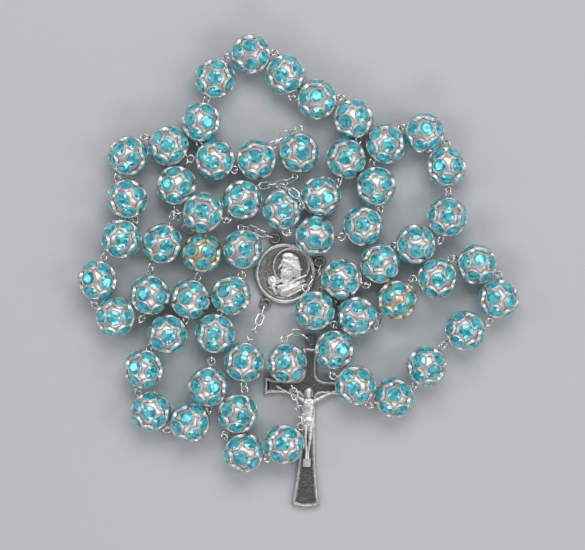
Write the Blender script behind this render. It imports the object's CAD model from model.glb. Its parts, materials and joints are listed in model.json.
import bpy, bmesh, json, math
from mathutils import Matrix, Vector


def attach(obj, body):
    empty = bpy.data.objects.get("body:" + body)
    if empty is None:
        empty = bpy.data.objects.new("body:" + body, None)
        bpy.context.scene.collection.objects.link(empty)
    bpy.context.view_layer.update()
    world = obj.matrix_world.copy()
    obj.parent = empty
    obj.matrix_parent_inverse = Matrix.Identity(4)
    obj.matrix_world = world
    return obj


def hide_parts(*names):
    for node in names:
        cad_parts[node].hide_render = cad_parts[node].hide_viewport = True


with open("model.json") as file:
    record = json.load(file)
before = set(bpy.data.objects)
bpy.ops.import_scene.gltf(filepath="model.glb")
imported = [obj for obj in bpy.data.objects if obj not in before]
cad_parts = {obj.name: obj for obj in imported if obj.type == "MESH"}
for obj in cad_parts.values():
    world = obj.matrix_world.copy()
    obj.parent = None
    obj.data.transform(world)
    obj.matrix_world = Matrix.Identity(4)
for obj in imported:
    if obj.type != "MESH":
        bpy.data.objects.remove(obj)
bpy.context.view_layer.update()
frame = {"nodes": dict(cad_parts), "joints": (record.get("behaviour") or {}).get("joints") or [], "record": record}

# ---- Camera, table and lamps ----
# The rosary lies on a pale matt table, seen from straight above through a long lens, with a
# large soft lamp beyond it and weaker ones round it.
MM = 0.001
CAMERA_HEIGHT = 745.5 * MM
camera = bpy.data.objects.new("camera", bpy.data.cameras.new("camera"))
bpy.context.scene.collection.objects.link(camera)
camera.data.lens = 180
camera.data.sensor_width = 36
camera.location = (-1.4 * MM, -0.95 * MM, CAMERA_HEIGHT)
camera.data.clip_start = 0.05
camera.data.clip_end = 10
bpy.context.scene.camera = camera
bpy.context.scene.view_settings.view_transform = "Standard"


def lamp(name, place, aim, size, watts, colour=(1, 1, 1)):
    light = bpy.data.lights.new(name, "AREA")
    light.shape = "RECTANGLE"
    light.size, light.size_y = size
    light.energy = watts
    light.color = colour
    holder = bpy.data.objects.new(name, light)
    bpy.context.scene.collection.objects.link(holder)
    holder.location = place
    holder.rotation_mode = "QUATERNION"
    holder.rotation_quaternion = (Vector(aim) - Vector(place)).to_track_quat("-Z", "Y")


lamp("lamp_far", (0.05, 0.34, 0.5), (0, 0, 0), (0.5, 0.3), 1.5)
lamp("lamp_right", (0.5, -0.05, 0.45), (0, 0, 0), (0.25, 0.35), 0.7)
lamp("lamp_left", (-0.5, 0.1, 0.4), (0, 0, 0), (0.2, 0.3), 0.45, (0.93, 0.97, 1))
lamp("lamp_near", (0.0, -0.5, 0.4), (0, 0, 0), (0.4, 0.12), 0.78)

sky = bpy.data.worlds.new("sky")
bpy.context.scene.world = sky
sky.use_nodes = True
sky.node_tree.nodes["Background"].inputs["Color"].default_value = (0.83, 0.85, 0.89, 1)
sky.node_tree.nodes["Background"].inputs["Strength"].default_value = 0.33


def finish_for(name, **values):
    """A new finish: one Principled shader, with its plain values set on its own sockets."""
    material = bpy.data.materials.new(name)
    material.use_nodes = True
    nodes, links = material.node_tree.nodes, material.node_tree.links
    shader = nodes["Principled BSDF"]
    for socket, value in values.items():
        shader.inputs[socket.replace("_", " ")].default_value = value
    place = nodes.new("ShaderNodeTexCoord").outputs["Object"]
    return material, nodes, links, shader, place


def blotches(nodes, links, place, scale, detail, low, high):
    """A soft random pattern on the piece, from low to high."""
    noise = nodes.new("ShaderNodeTexNoise")
    noise.inputs["Scale"].default_value = scale
    noise.inputs["Detail"].default_value = detail
    links.new(place, noise.inputs["Vector"])
    spread = nodes.new("ShaderNodeMapRange")
    spread.inputs["From Min"].default_value = 0.3
    spread.inputs["From Max"].default_value = 0.7
    spread.inputs["To Min"].default_value = low
    spread.inputs["To Max"].default_value = high
    links.new(noise.outputs["Fac"], spread.inputs["Value"])
    return spread.outputs["Result"]


def tinted(nodes, links, factor, first, second):
    """A colour that goes from first to second with factor."""
    mix = nodes.new("ShaderNodeMix")
    mix.data_type = "RGBA"
    mix.inputs["A"].default_value = (*first, 1)
    mix.inputs["B"].default_value = (*second, 1)
    links.new(factor, mix.inputs["Factor"])
    return mix.outputs["Result"]


def roughened(nodes, links, shader, height, depth):
    """Fine unevenness of the surface, depth metres deep."""
    bump = nodes.new("ShaderNodeBump")
    bump.inputs["Strength"].default_value = 1
    bump.inputs["Distance"].default_value = depth
    links.new(height, bump.inputs["Height"])
    links.new(bump.outputs["Normal"], shader.inputs["Normal"])


table = bpy.data.objects.new("table", bpy.data.meshes.new("table"))
bpy.context.scene.collection.objects.link(table)
bm = bmesh.new()
bmesh.ops.create_grid(bm, x_segments=2, y_segments=2, size=1.6)
bm.to_mesh(table.data)
bm.free()
paper, nodes, links, shader, place = finish_for("table_paper", Roughness=0.75)
links.new(tinted(nodes, links, blotches(nodes, links, place, 3, 2, 0, 1),
                 (0.59, 0.594, 0.610), (0.62, 0.624, 0.640)), shader.inputs["Base Color"])
roughened(nodes, links, shader, blotches(nodes, links, place, 900, 3, 0, 1), 0.00002)
table.data.materials.append(paper)


# ---- Ball bead: the plated shell ----
# Each bead is a ball of silver-plated brass, cast with sixteen round cups for stones, in rows
# of five, six and five, and an open cup at each end of its hole.
WEB_RADIUS = 4.32 * MM
CUP_RADIUS = 1.76 * MM
END_CUP_FLOOR = 3.52 * MM
RING_LAT = 44
ROUND_STEPS = 28


def cup_directions():
    """The way each stone faces on a bead whose hole lies along +Z."""
    ways = []
    for k in range(5):
        for side in (-1, 1):
            ways.append((side * RING_LAT, (k + (side + 1) / 4) * 72))
    for k in range(6):
        ways.append((0, k * 60 + 12))
    return [Matrix.Rotation(math.radians(lon), 4, "Z") @ Matrix.Rotation(math.radians(90 - lat), 4, "Y")
            for lat, lon in ways]


def all_linked(start):
    """Every vertex that edges join to the given ones."""
    seen, stack = set(start), list(start)
    while stack:
        for edge in stack.pop().link_edges:
            for vert in edge.verts:
                if vert not in seen:
                    seen.add(vert)
                    stack.append(vert)
    return list(seen)


def add_rim(bm, where, inner, outer, low, high, wall):
    """A cup's rim: a thin raised ring with a rounded lip, standing along +Z of where."""
    profile = [(inner - 0.08 * MM, low), (inner, high - 0.2 * MM), (inner + 0.03 * MM, high - 0.05 * MM),
               (inner + wall * 0.5, high), (inner + wall - 0.02 * MM, high - 0.06 * MM),
               (outer, high - 0.3 * MM), (outer + 0.05 * MM, high - 0.8 * MM)]
    chain = [bm.verts.new((r, 0, z)) for r, z in profile]
    edges = [bm.edges.new(pair) for pair in zip(chain, chain[1:])]
    bmesh.ops.spin(bm, geom=chain + edges, cent=(0, 0, 0), axis=(0, 0, 1), angle=2 * math.pi,
                   steps=ROUND_STEPS, use_merge=True)
    bmesh.ops.transform(bm, matrix=where, verts=all_linked(chain))


def make_shell():
    bm = bmesh.new()
    bmesh.ops.create_uvsphere(bm, u_segments=56, v_segments=36, radius=WEB_RADIUS)
    ways = cup_directions()
    ends = [Matrix.Identity(4), Matrix.Rotation(math.pi, 4, "X")]
    cut = math.sqrt(WEB_RADIUS ** 2 - (CUP_RADIUS + 0.08 * MM) ** 2)
    for way in ways + ends:
        axis = way.to_3x3() @ Vector((0, 0, 1))
        bmesh.ops.bisect_plane(bm, geom=bm.verts[:] + bm.edges[:] + bm.faces[:], dist=1e-7,
                               plane_co=axis * cut, plane_no=axis, clear_outer=True)
    bmesh.ops.remove_doubles(bm, verts=bm.verts, dist=0.06 * MM)
    web = set(bm.faces)
    for way in ways:
        add_rim(bm, way, CUP_RADIUS, CUP_RADIUS + 0.17 * MM, 3.9 * MM, 4.82 * MM, 0.15 * MM)
    for way in ends:
        add_rim(bm, way, CUP_RADIUS, CUP_RADIUS + 0.2 * MM, 3.5 * MM, 4.85 * MM, 0.18 * MM)
        floor = bmesh.ops.create_circle(bm, segments=ROUND_STEPS, radius=CUP_RADIUS, cap_ends=True,
                                        matrix=way @ Matrix.Translation((0, 0, END_CUP_FLOOR)))
        face = floor["verts"][0].link_faces[0]
        bmesh.ops.inset_region(bm, faces=[face], thickness=1.3 * MM)
        bmesh.ops.translate(bm, verts=face.verts, vec=way.to_3x3() @ Vector((0, 0, -1.2 * MM)))
    for face in bm.faces:
        face.material_index = 0 if face in web else 1
        face.smooth = True
    mesh = bpy.data.meshes.new("shell")
    bm.to_mesh(mesh)
    bm.free()
    return mesh


def silver(name, bright, dull, rough):
    """Silver plate: bright, slightly warm, with a little unevenness from casting."""
    material, nodes, links, shader, place = finish_for(name, Metallic=1.0)
    links.new(tinted(nodes, links, blotches(nodes, links, place, 420, 3, 0, 1), bright, dull),
              shader.inputs["Base Color"])
    links.new(blotches(nodes, links, place, 900, 2, rough, rough + 0.12), shader.inputs["Roughness"])
    roughened(nodes, links, shader, blotches(nodes, links, place, 1400, 2, 0, 1), 0.00003)
    return material


WEB_SILVER = silver("web_silver", (0.90, 0.87, 0.855), (0.76, 0.72, 0.70), 0.36)
WEB_WARM = silver("web_warm", (0.88, 0.80, 0.69), (0.72, 0.60, 0.45), 0.34)
RIM_SILVER = silver("rim_silver", (0.99, 0.985, 0.98), (0.96, 0.94, 0.93), 0.2)
shell = make_shell()

joints = {joint["child"]: joint for joint in frame["joints"]}
HAIL_MARYS = [f"hail_mary_bead_{n:02d}" for n in range(1, 54)]
body_of_node = {node: body for body, nodes_in in frame["record"]["behaviour"]["bodies"].items()
                for node in nodes_in}


def bead_place(centre, axis, turn):
    """Where a bead lies: its hole along axis, turned about it by turn degrees."""
    lie = Vector(axis).to_track_quat("Z", "X").to_matrix().to_4x4()
    return Matrix.Translation(centre) @ lie @ Matrix.Rotation(math.radians(turn), 4, "Z")


def add_piece(name, mesh, where, finishes, body):
    copy = mesh.copy()
    copy.name = name
    copy.transform(where)
    copy.materials.clear()
    for finish in finishes:
        copy.materials.append(finish)
    piece = bpy.data.objects.new(name, copy)
    bpy.context.scene.collection.objects.link(piece)
    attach(piece, body)
    return piece


places = []
for count, node in enumerate(HAIL_MARYS):
    body = body_of_node[node]
    centre = Vector(joints[body]["pos_m"])
    places.append((node, bead_place(centre, joints[body]["axis"], 37 * (count + 1)), body))
for node, where, body in places:
    web = WEB_WARM if node[-2:] in ("10", "41") else WEB_SILVER
    piece = add_piece("shell_" + node[-2:], shell, where, [web, RIM_SILVER], body)
    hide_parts(node)


# ---- Faceted stones ----
# Sixteen pointed-back stones of aqua crystal in each bead, with a mirror foil on the back
# facets. They sit in the cups and their girdles are held under the lips.
STONE_RADIUS = 1.77 * MM
TABLE_RADIUS = 1.0 * MM
WAIST_RADIUS = 0.95 * MM
POINT_RADIUS = 0.08 * MM
POINT, WAIST, GIRDLE, STONE_TOP = 3.6 * MM, 4.15 * MM, 4.66 * MM, 4.97 * MM
FACETS = 12


def ring_of(verts, height):
    """Those of the vertices that lie at one height."""
    return [vert for vert in verts if abs(vert.co.z - height) < 1e-6]


def make_stones():
    bm = bmesh.new()
    turned = Matrix.Rotation(math.pi / FACETS, 3, "Z")
    for count, way in enumerate(cup_directions()):
        crown = bmesh.ops.create_cone(
            bm, cap_ends=True, segments=FACETS, radius1=STONE_RADIUS, radius2=TABLE_RADIUS,
            depth=STONE_TOP - GIRDLE, matrix=Matrix.Translation((0, 0, (STONE_TOP + GIRDLE) / 2)))["verts"]
        bmesh.ops.rotate(bm, verts=ring_of(crown, STONE_TOP), matrix=turned)
        upper = bmesh.ops.create_cone(
            bm, segments=FACETS, radius1=WAIST_RADIUS, radius2=STONE_RADIUS, depth=GIRDLE - WAIST,
            matrix=Matrix.Translation((0, 0, (WAIST + GIRDLE) / 2)))["verts"]
        bmesh.ops.rotate(bm, verts=ring_of(upper, WAIST), matrix=turned)
        lower = bmesh.ops.create_cone(
            bm, cap_ends=True, segments=FACETS, radius1=POINT_RADIUS, radius2=WAIST_RADIUS,
            depth=WAIST - POINT,
            matrix=turned.to_4x4() @ Matrix.Translation((0, 0, (POINT + WAIST) / 2)))["verts"]
        inside = [face for verts, height in ((crown, GIRDLE), (lower, WAIST)) for face in bm.faces
                  if face.verts[0] in set(verts)
                  and all(abs(vert.co.z - height) < 1e-6 for vert in face.verts)]
        bmesh.ops.delete(bm, geom=inside, context="FACES_ONLY")
        bmesh.ops.transform(bm, verts=crown + upper + lower,
                            matrix=way @ Matrix.Rotation(math.radians(23 * count), 4, "Z"))
    bmesh.ops.remove_doubles(bm, verts=bm.verts, dist=1e-6)
    bmesh.ops.triangulate(bm, faces=[face for face in bm.faces if len(face.verts) == 4])
    bmesh.ops.recalc_face_normals(bm, faces=bm.faces)
    for face in bm.faces:
        middle = face.calc_center_median()
        in_front = face.normal.dot(middle.normalized()) > 0.25 and middle.length > 4.6 * MM
        face.material_index = 0 if in_front else 1
    mesh = bpy.data.meshes.new("stones")
    bm.to_mesh(mesh)
    bm.free()
    return mesh


def crystal(name, dark, bright, **values):
    """Cut glass over a mirror foil: angular patches of light and dark, as its facets throw them."""
    material, nodes, links, shader, place = finish_for(name, Roughness=0.06, IOR=1.56, **values)
    cells = nodes.new("ShaderNodeTexVoronoi")
    cells.inputs["Scale"].default_value = 1150
    links.new(place, cells.inputs["Vector"])
    split = nodes.new("ShaderNodeSeparateColor")
    links.new(cells.outputs["Color"], split.inputs[0])
    links.new(tinted(nodes, links, split.outputs[0], dark, bright), shader.inputs["Base Color"])
    return material


STONE_GLASS = crystal("stone_crystal", (0.02, 0.34, 0.43), (0.30, 0.93, 1.0), Metallic=0.3,
                      Transmission_Weight=0.15)
STONE_FOIL = crystal("stone_foil", (0.02, 0.40, 0.50), (0.30, 0.93, 1.0), Metallic=1.0)

stones = make_stones()
for node, where, body in places:
    piece = add_piece("stones_" + node[-2:], stones, where, [STONE_GLASS, STONE_FOIL], body)


# ---- Our Father beads ----
# Six more of the same beads, on longer stretches of chain, one before each decade. They
# lie at these places, with their holes along these lines, in millimetres.
OUR_FATHERS = [
    ((-13.5, -23, 4.95), (-12.5, -17.5, 4.75), (-13.75, -28.75, 5)),
    ((-2.75, -23.25, 4.95), (-1.5, -29.25, 5.5), (-3.5, -17.25, 4.5)),
    ((-30.75, 21.75, 4.95), (-31.25, 16, 4.25), (-28, 27.5, 5)),
    ((0.25, 30, 4.95), (-0.75, 24, 4.5), (0.25, 36, 5)),
    ((-4, 15.75, 4.95), (-4, 21.25, 6.25), (-3, 10, 4.75)),
    ((15, -11.5, 4.95), (10.25, -8.25, 2.5), (19.5, -14.5, 6))]


def joined(name, mesh, wheres, finishes):
    """One piece made of a copy of mesh at each of the places."""
    bm = bmesh.new()
    for where in wheres:
        copy = mesh.copy()
        copy.transform(where)
        bm.from_mesh(copy)
        bpy.data.meshes.remove(copy)
    whole = bpy.data.meshes.new(name)
    bm.to_mesh(whole)
    bm.free()
    return add_piece(name, whole, Matrix.Identity(4), finishes, "wirework")


wheres = []
for count, (centre, first, last) in enumerate(OUR_FATHERS):
    axis = Vector(last) - Vector(first)
    wheres.append(bead_place(Vector(centre) * MM, axis.normalized(), 40 * count))
piece = joined("shells_our_father", shell, wheres, [WEB_SILVER, RIM_SILVER])
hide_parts("our_father_beads")
piece = joined("stones_our_father", stones, wheres, [STONE_GLASS, STONE_FOIL])


# ---- Eye pins, chain links and the crucifix's ring ----
# Soft wire, silver-plated. Each bead turns on a pin with a loop closed at either end, and
# short chains of oval links join the decades to the medal and the Our Father beads.
WIRE_SILVER = silver("wire_silver", (0.98, 0.97, 0.94), (0.88, 0.86, 0.81), 0.14)


def smooth_copy(node, name, finish, body, kept):
    """The CAD node's own shape with its triangles joined, so that its curves shade smoothly,
    thinned to the kept share of them."""
    mesh = frame["nodes"][node].data.copy()
    bm = bmesh.new()
    bm.from_mesh(mesh)
    bmesh.ops.remove_doubles(bm, verts=bm.verts, dist=1e-6)
    for face in bm.faces:
        face.smooth = True
    bm.to_mesh(mesh)
    bm.free()
    whole = bpy.data.objects.new(name, mesh)
    bpy.context.scene.collection.objects.link(whole)
    whole.modifiers.new("thin", "DECIMATE").ratio = kept
    evaluated = whole.evaluated_get(bpy.context.evaluated_depsgraph_get())
    thinned = bpy.data.meshes.new_from_object(evaluated)
    bpy.data.objects.remove(whole)
    thinned.set_sharp_from_angle(angle=math.radians(50))
    piece = add_piece(name, thinned, Matrix.Identity(4), [finish], body)
    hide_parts(node)
    return piece


for node, name, kept in (("eye_pins", "eye_pin_wire", 0.3), ("chain_links", "chain_wire", 0.5),
                         ("crucifix_ring", "ring_wire", 1)):
    piece = smooth_copy(node, name, WIRE_SILVER, "wirework", kept)


# ---- Centre medal ----
# A struck round medal with three loops cast on its edge. The face is a praying figure in
# low relief with a ring behind its head. It is blackened and then rubbed bright on top.
MEDAL = Vector((-3.25, -0.5, 0)) * MM


def antiqued(name, dark, bright, low, high, grain):
    """Blackened silver: dark down in the hollows, rubbed bright from low up to high."""
    material, nodes, links, shader, place = finish_for(name, Metallic=1.0, Roughness=0.3)
    split = nodes.new("ShaderNodeSeparateXYZ")
    links.new(place, split.inputs[0])
    rise = nodes.new("ShaderNodeMapRange")
    rise.inputs["From Min"].default_value = low
    rise.inputs["From Max"].default_value = high
    links.new(split.outputs["Z"], rise.inputs["Value"])
    rubbed = nodes.new("ShaderNodeMath")
    rubbed.operation = "MULTIPLY_ADD"
    rubbed.use_clamp = True
    links.new(blotches(nodes, links, place, 1500, 4, -0.16, 0.16), rubbed.inputs[0])
    rubbed.inputs[1].default_value = 1
    links.new(rise.outputs["Result"], rubbed.inputs[2])
    links.new(tinted(nodes, links, rubbed.outputs[0], dark, bright), shader.inputs["Base Color"])
    links.new(blotches(nodes, links, place, 1100, 3, 0.26, 0.42), shader.inputs["Roughness"])
    roughened(nodes, links, shader, blotches(nodes, links, place, grain, 3, 0, 1), 0.00006)
    return material


def lump(bm, centre, radii, turn=0):
    """A rounded lump of the relief."""
    where = (Matrix.Translation(Vector(centre) * MM) @ Matrix.Rotation(math.radians(turn), 4, "Z")
             @ Matrix.Diagonal((*(r * MM for r in radii), 1)))
    bmesh.ops.create_icosphere(bm, subdivisions=3, radius=1, matrix=where)


def roll(bm, a, b, first, last):
    """A tapered rod with round ends from a to b."""
    a, b = Vector(a), Vector(b)
    lie = (b - a).to_track_quat("Z", "Y").to_matrix().to_4x4()
    where = Matrix.Translation((a + b) / 2 * MM) @ lie
    bmesh.ops.create_cone(bm, cap_ends=True, segments=16, radius1=first * MM, radius2=last * MM,
                          depth=(b - a).length * MM, matrix=where)
    for end, radius in ((a, first), (b, last)):
        bmesh.ops.create_icosphere(bm, subdivisions=2, radius=radius * MM,
                                   matrix=Matrix.Translation(end * MM))


def fused(name, bm, voxel, smoothing):
    """The lumps and rolls melted into one skin."""
    mesh = bpy.data.meshes.new(name)
    bm.to_mesh(mesh)
    bm.free()
    made = bpy.data.objects.new(name, mesh)
    bpy.context.scene.collection.objects.link(made)
    melt = made.modifiers.new("melt", "REMESH")
    melt.mode = "VOXEL"
    melt.voxel_size = voxel * MM
    melt.use_smooth_shade = True
    soften = made.modifiers.new("soften", "SMOOTH")
    soften.factor = 0.5
    soften.iterations = smoothing
    whole = bpy.data.meshes.new_from_object(made.evaluated_get(bpy.context.evaluated_depsgraph_get()))
    bpy.data.objects.remove(made)
    return whole


def disc_profile(bm, profile, steps):
    """A solid of revolution about Z from its half section, in millimetres."""
    chain = [bm.verts.new((r * MM, 0, z * MM)) for r, z in profile]
    edges = [bm.edges.new(pair) for pair in zip(chain, chain[1:])]
    bmesh.ops.spin(bm, geom=chain + edges, cent=(0, 0, 0), axis=(0, 0, 1), angle=2 * math.pi,
                   steps=steps, use_merge=True)


def wire_ring(bm, where, mean, wire, rings=40, around=12):
    """A closed ring of round wire, lying flat before it is put at where."""
    start = bmesh.ops.create_circle(
        bm, segments=around, radius=wire * MM,
        matrix=Matrix.Translation((mean * MM, 0, 0)) @ Matrix.Rotation(math.pi / 2, 4, "X"))["verts"]
    bmesh.ops.spin(bm, geom=start + list({edge for vert in start for edge in vert.link_edges}),
                   cent=(0, 0, 0), axis=(0, 0, 1), angle=2 * math.pi, steps=rings, use_merge=True)
    bmesh.ops.transform(bm, verts=all_linked(start), matrix=where)


bm = bmesh.new()
disc_profile(bm, [(0, 0), (7.3, 0), (7.65, 0.12), (7.8, 0.4), (7.8, 1.25), (7.72, 1.5), (7.5, 1.66),
                  (7.2, 1.7), (6.95, 1.66), (6.75, 1.5), (6.65, 1.22), (6.5, 1.1), (3, 1.1), (0, 1.1)], 96)
for angle in (106, 18, 237):
    wire_ring(bm, Matrix.Rotation(math.radians(angle), 4, "Z") @ Matrix.Translation((9.25 * MM, 0, 0.9 * MM)),
              1.15, 0.375)
bmesh.ops.remove_doubles(bm, verts=bm.verts, dist=1e-7)
bmesh.ops.recalc_face_normals(bm, faces=bm.faces)
for face in bm.faces:
    face.smooth = True
disc = bpy.data.meshes.new("medal_disc")
bm.to_mesh(disc)
bm.free()
DISC_SILVER = antiqued("disc_silver", (0.10, 0.098, 0.095), (0.66, 0.65, 0.62), 0.95 * MM, 1.62 * MM, 2600)
piece = add_piece("medal_disc", disc, Matrix.Translation(MEDAL), [DISC_SILVER], "wirework")
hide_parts("centre_medal")

bm = bmesh.new()
wire_ring(bm, Matrix.Translation((1.5 * MM, 1.75 * MM, 1.1 * MM)), 4.55, 0.36)
lump(bm, (1.5, 1.7, 1.1), (2.6, 3.1, 0.7))
lump(bm, (1.2, 4.1, 1.2), (2.3, 1.25, 0.68), -8)
lump(bm, (0.1, 2.7, 1.2), (1.5, 1.3, 0.62))
lump(bm, (0.3, -0.5, 1.2), (1.7, 1.9, 0.62), 15)
lump(bm, (2.9, 0.9, 1.15), (1.3, 2.4, 0.6), 10)
roll(bm, (-1.05, 2.3, 1.4), (-1.65, 1.3, 1.5), 0.24, 0.32)
lump(bm, (-0.95, 0.75, 1.35), (0.6, 0.32, 0.42), 10)
roll(bm, (-0.9, 2.45, 1.6), (0.3, 2.65, 1.68), 0.16, 0.12)
lump(bm, (-0.35, 1.95, 1.6), (0.36, 0.2, 0.18))
lump(bm, (2.1, 1.7, 1.6), (0.45, 0.7, 0.26), 12)
for x, y, along, aside in ((0.2, 0.4, -0.3, 1.7), (0.9, 0.3, 0.0, 1.9), (1.6, 0.2, -0.1, 1.7)):
    roll(bm, (x, y, 1.55), (x + along, y - aside, 1.5), 0.3, 0.14)
roll(bm, (-1.1, 0.85, 1.68), (0.5, 1.15, 1.8), 0.15, 0.22)
lump(bm, (-3.3, -2.0, 1.15), (1.4, 1.5, 0.75))
for x, y, z in ((-4.2, -1.15, 1.5), (-3.8, -0.85, 1.62), (-3.35, -0.75, 1.68), (-2.9, -0.85, 1.6)):
    roll(bm, (x + 0.55, y - 1.2, z), (x, y, z - 0.1), 0.3, 0.2)
roll(bm, (-2.5, -2.4, 1.6), (-3.5, -2.0, 1.7), 0.34, 0.24)
roll(bm, (-3.9, -3.6, 1.3), (-2.6, -3.1, 1.4), 0.5, 0.45)
roll(bm, (-3.3, -3.4, 1.4), (-2.3, -5.2, 1.3), 0.62, 0.5)
lump(bm, (1.6, -3.9, 1.05), (4.1, 2.1, 0.6), 12)
for k, (ax, ay, bx, by, wide) in enumerate((
        (-2.1, -2.3, 1.4, -0.6, 0.5), (1.1, -0.9, 4.3, 1.1, 0.34), (-1.8, -3.4, 2.4, -2.3, 0.42),
        (2.0, -2.0, 5.3, -0.6, 0.5), (-1.0, -4.7, 3.0, -3.4, 0.5), (3.3, -3.0, 5.0, -2.0, 0.32),
        (0.6, -5.9, 3.9, -4.3, 0.36))):
    roll(bm, (ax, ay, 1.25), (bx, by, 1.36 + 0.08 * (k % 2)), wide, wide * 0.75)
relief = fused("medal_relief", bm, 0.075, 2)
bm = bmesh.new()
bm.from_mesh(relief)
bmesh.ops.bisect_plane(bm, geom=bm.verts[:] + bm.edges[:] + bm.faces[:], dist=1e-8,
                       plane_co=(0, 0, 1.0 * MM), plane_no=(0, 0, -1), clear_outer=True)
bmesh.ops.holes_fill(bm, edges=[edge for edge in bm.edges if edge.is_boundary])
bm.to_mesh(relief)
bm.free()
RELIEF_SILVER = antiqued("relief_silver", (0.10, 0.098, 0.095), (0.88, 0.86, 0.82), 1.08 * MM, 1.6 * MM, 2200)
piece = add_piece("medal_relief", relief, Matrix.Translation(MEDAL), [RELIEF_SILVER], "wirework")


# ---- Crucifix ----
# A cast cross with flared ends and rounded inner corners. A raised polished border stands
# round a stippled, blackened recess, and an eye at the top takes the jump ring.
CROSS = (Matrix.Translation((2.85 * MM, -29.5 * MM, 0)) @ Matrix.Rotation(math.radians(-1.8), 4, "Z"))
HALF_OUTLINE = [
    (0, 10), (1.5, 9.95), (2.15, 10.15), (1.95, 8.6), (1.75, 6.5), (1.75, 3.9), (1.9, 3.0),
    (2.3, 2.3), (3.0, 1.9), (3.9, 1.75), (8.2, 1.75), (9.9, 1.95), (11.5, 2.35), (11.42, 1.2),
    (11.4, 0), (11.42, -1.2), (11.5, -2.3), (9.9, -1.85), (8.2, -1.7), (3.6, -1.7), (2.6, -1.85),
    (2.05, -2.3), (1.8, -3.2), (1.75, -5), (1.8, -10), (2.05, -16), (2.5, -22), (3.1, -27.5),
    (3.65, -29.6), (2.6, -30.1), (1.3, -30.38), (0, -30.45)]


def cross_plate():
    bm = bmesh.new()
    outline = HALF_OUTLINE + [(-x, y) for x, y in reversed(HALF_OUTLINE[1:-1])]
    face = bm.faces.new([bm.verts.new((x * MM, y * MM, 0)) for x, y in outline])
    if face.normal.z < 0:
        face.normal_flip()
    bmesh.ops.recalc_face_normals(bm, faces=[face])
    made = bmesh.ops.extrude_face_region(bm, geom=[face])["geom"]
    top = next(item for item in made if isinstance(item, bmesh.types.BMFace))
    bmesh.ops.translate(bm, verts=top.verts, vec=(0, 0, 1.5 * MM))
    bmesh.ops.recalc_face_normals(bm, faces=bm.faces)
    border_steps = ((0.22, 0.22), (0.22, 0.08), (0.26, -0.06), (0.12, -0.34), (0.2, 0.0), (0.1, -0.2))
    for thickness, rise in border_steps:
        bmesh.ops.inset_region(bm, faces=[top], thickness=thickness * MM, use_even_offset=True)
        bmesh.ops.translate(bm, verts=top.verts, vec=(0, 0, rise * MM))
    for face in bm.faces:
        face.smooth = True
    mesh = bpy.data.meshes.new("cross_plate")
    bm.to_mesh(mesh)
    bm.free()
    mesh.set_sharp_from_angle(angle=math.radians(50))
    return mesh


CROSS_SILVER = antiqued("cross_silver", (0.17, 0.165, 0.16), (0.70, 0.69, 0.66), 1.25 * MM, 1.7 * MM, 2400)
piece = add_piece("cross_plate", cross_plate(), CROSS, [CROSS_SILVER], "cross")
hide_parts("crucifix")

bm = bmesh.new()
wire_ring(bm, Matrix.Translation((0, 12.1 * MM, 1.05 * MM)), 1.3, 0.3)
eye = bpy.data.meshes.new("cross_eye")
for face in bm.faces:
    face.smooth = True
bm.to_mesh(eye)
bm.free()
piece = add_piece("cross_eye", eye, CROSS, [CROSS_SILVER], "cross")


# ---- Figure on the crucifix ----
# A small cast figure, soldered on at its back: head bowed, arms raised to the ends of the
# cross-beam, a knotted loincloth, and the feet together on a block.
bm = bmesh.new()
lump(bm, (-0.15, -1.55, 2.35), (0.95, 1.25, 0.95), 8)
lump(bm, (-0.15, -0.85, 2.3), (1.2, 0.95, 0.85), 8)
roll(bm, (-1.05, -0.9, 2.1), (-1.0, -2.4, 2.0), 0.3, 0.2)
roll(bm, (0.8, -0.8, 2.1), (0.85, -2.3, 2.0), 0.3, 0.2)
lump(bm, (-0.3, -2.6, 2.4), (0.45, 0.5, 0.5))
lump(bm, (-0.28, -1.7, 3.2), (0.14, 0.3, 0.18))
lump(bm, (0, -3.6, 1.95), (1.95, 1.0, 0.75))
lump(bm, (0, -4.9, 1.95), (1.55, 1.9, 0.8))
lump(bm, (0.02, -6.9, 1.85), (1.2, 1.6, 0.7))
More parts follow.
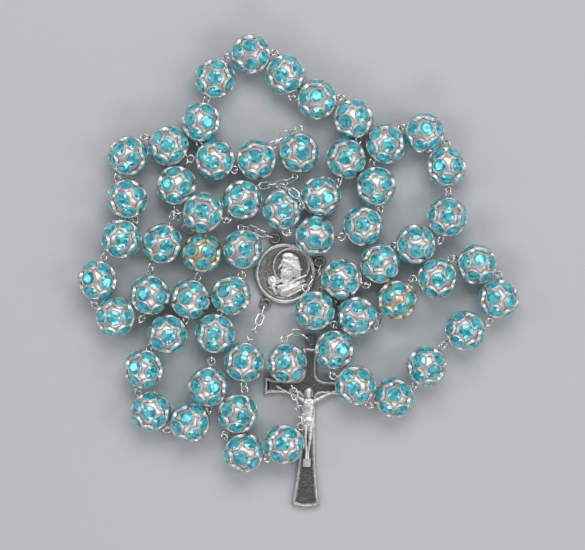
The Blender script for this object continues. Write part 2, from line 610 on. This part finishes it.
for side in (-1, 1):
    lump(bm, (side * 0.72, -4.1, 2.45), (0.72, 0.6, 0.3))
    roll(bm, (side * 1.75, -3.2, 2.0), (side * 4.4, -1.8, 2.05), 0.58, 0.42)
    roll(bm, (side * 4.4, -1.8, 2.05), (side * 7.2, -0.5, 2.1), 0.43, 0.28)
    lump(bm, (side * 7.75, -0.2, 2.1), (0.6, 0.45, 0.35), side * 25)
    for k in range(3):
        roll(bm, (side * 7.9, -0.15, 2.15), (side * (8.35 + 0.05 * k), 0.3 - 0.28 * k, 2.1), 0.14, 0.1)
    roll(bm, (side * 0.62, -9.3, 1.95), (side * 0.62, -12.8, 2.3), 0.66, 0.5)
    lump(bm, (side * 0.62, -12.9, 2.4), (0.48, 0.55, 0.45))
    roll(bm, (side * 0.62, -13.1, 2.3), (side * 0.25, -16.6, 2.0), 0.46, 0.28)
    roll(bm, (side * 0.25, -16.6, 2.0), (side * 0.28, -18.0, 2.2), 0.3, 0.34)
for k in range(3):
    roll(bm, (-0.95, -5.3 - 0.45 * k, 2.35), (0.95, -5.3 - 0.45 * k, 2.35), 0.16, 0.16)
lump(bm, (0, -8.6, 2.0), (1.45, 1.4, 0.85))
for k in range(5):
    roll(bm, (-1.3, -7.8 - 0.4 * k, 2.35), (1.3, -7.6 - 0.55 * k, 2.45), 0.2, 0.22)
roll(bm, (1.35, -7.7, 2.3), (1.55, -10.2, 2.1), 0.34, 0.26)
figure = fused("figure", bm, 0.07, 2)
bm = bmesh.new()
bm.from_mesh(figure)
bmesh.ops.bisect_plane(bm, geom=bm.verts[:] + bm.edges[:] + bm.faces[:], dist=1e-8,
                       plane_co=(0, 0, 1.3 * MM), plane_no=(0, 0, -1), clear_outer=True)
bmesh.ops.holes_fill(bm, edges=[edge for edge in bm.edges if edge.is_boundary])
bmesh.ops.create_cube(bm, size=1, matrix=Matrix.Translation((0, -19.2 * MM, 1.75 * MM))
                      @ Matrix.Diagonal((1.9 * MM, 2.0 * MM, 1.1 * MM, 1)))
bm.to_mesh(figure)
bm.free()
FIGURE_SILVER = antiqued("figure_silver", (0.16, 0.155, 0.15), (0.86, 0.84, 0.80), 1.35 * MM, 2.1 * MM, 2400)
piece = add_piece("figure", figure, CROSS, [FIGURE_SILVER], "cross")
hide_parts("corpus")
